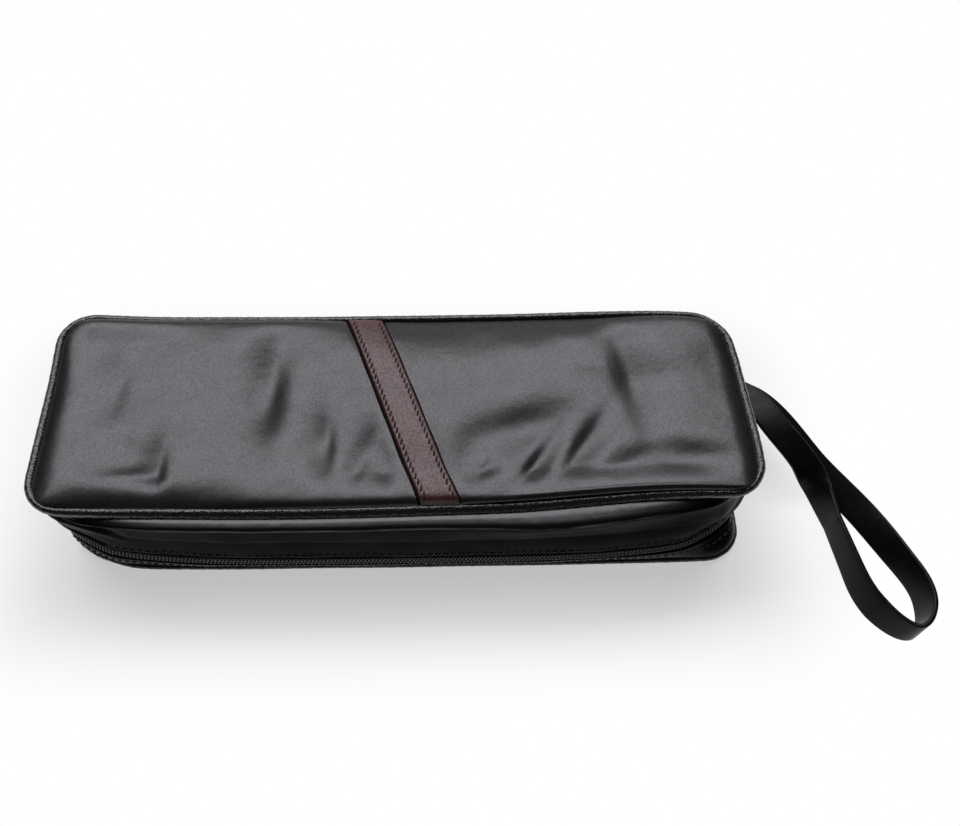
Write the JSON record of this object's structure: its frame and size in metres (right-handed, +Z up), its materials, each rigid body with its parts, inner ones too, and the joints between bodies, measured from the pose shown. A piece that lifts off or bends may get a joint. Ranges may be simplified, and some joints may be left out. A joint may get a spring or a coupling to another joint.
{
  "type": "zipped pipe case",
  "caption": "Soft leather case for tobacco pipes with a padded lid hinged along the back, a zip round the other sides, lined bays, stem loops and a wrist strap.",
  "frame": {"origin": "centre of the base panel's underside, which rests on the table", "axes": "+X along the case towards the wrist strap, +Y to the back wall that the lid folds on, +Z up"},
  "size_m": [0.3333, 0.1172, 0.0533],
  "materials": {
    "black_leather": "semi-gloss fine pebbled grain",
    "piping_leather": "semi-gloss, creased round the cord",
    "strap_leather": "satin, smooth",
    "stripe_leather": "satin reddish brown, pebbled",
    "board": "grey board",
    "foam": "matte foam",
    "lining_cloth": "brushed cloth",
    "pocket_cloth": "brushed cloth",
    "zip_tape": "woven tape",
    "zip_coil": "nylon coil",
    "elastic": "ribbed elastic",
    "slider_metal": "gloss black enamel"
  },
  "bodies": {
    "base": {"base_panel": "black_leather", "base_piping": "piping_leather", "lower_gusset": "black_leather", "base_board": "board", "base_padding": "foam", "base_lining": "lining_cloth", "lower_zip_tape": "zip_tape", "lower_zip_coil": "zip_coil", "hinge_fold": "black_leather", "zip_end_patch": "black_leather", "strap_patch": "black_leather", "pipe_divider": "lining_cloth", "front_stem_loop": "elastic", "rear_stem_loop": "elastic"},
    "lid": {"top_panel": "black_leather", "accent_stripe": "stripe_leather", "top_piping": "piping_leather", "top_padding": "foam", "top_board": "board", "upper_gusset": "black_leather", "lid_lining": "lining_cloth", "upper_zip_tape": "zip_tape", "upper_zip_coil": "zip_coil", "lid_pocket": "pocket_cloth", "pocket_binding": "black_leather"},
    "slider": {"zip_slider": "slider_metal"},
    "pull": {"zip_pull": "slider_metal"},
    "strap": {"wrist_strap": "strap_leather"}
  },
  "joints": [
    {"name": "lid_hinge", "type": "hinge", "parent": "base", "child": "lid", "pos_m": [0, 0.04005, 0.014], "axis": [-1, 0, 0], "range_deg": [0, 105]},
    {"name": "zip_slide", "type": "slide", "parent": "base", "child": "slider", "axis": [0, -1, 0], "range_m": [0, 0.036]},
    {"name": "pull_swing", "type": "hinge", "parent": "slider", "child": "pull", "pos_m": [-0.1324, 0.013, 0.014], "axis": [0, 0, -1], "range_deg": [0, 170]},
    {"name": "strap_lift", "type": "hinge", "parent": "base", "child": "strap", "pos_m": [0.1324, 0.025, 0.019], "axis": [0, -1, 0], "range_deg": [0, 60]}
  ]
}
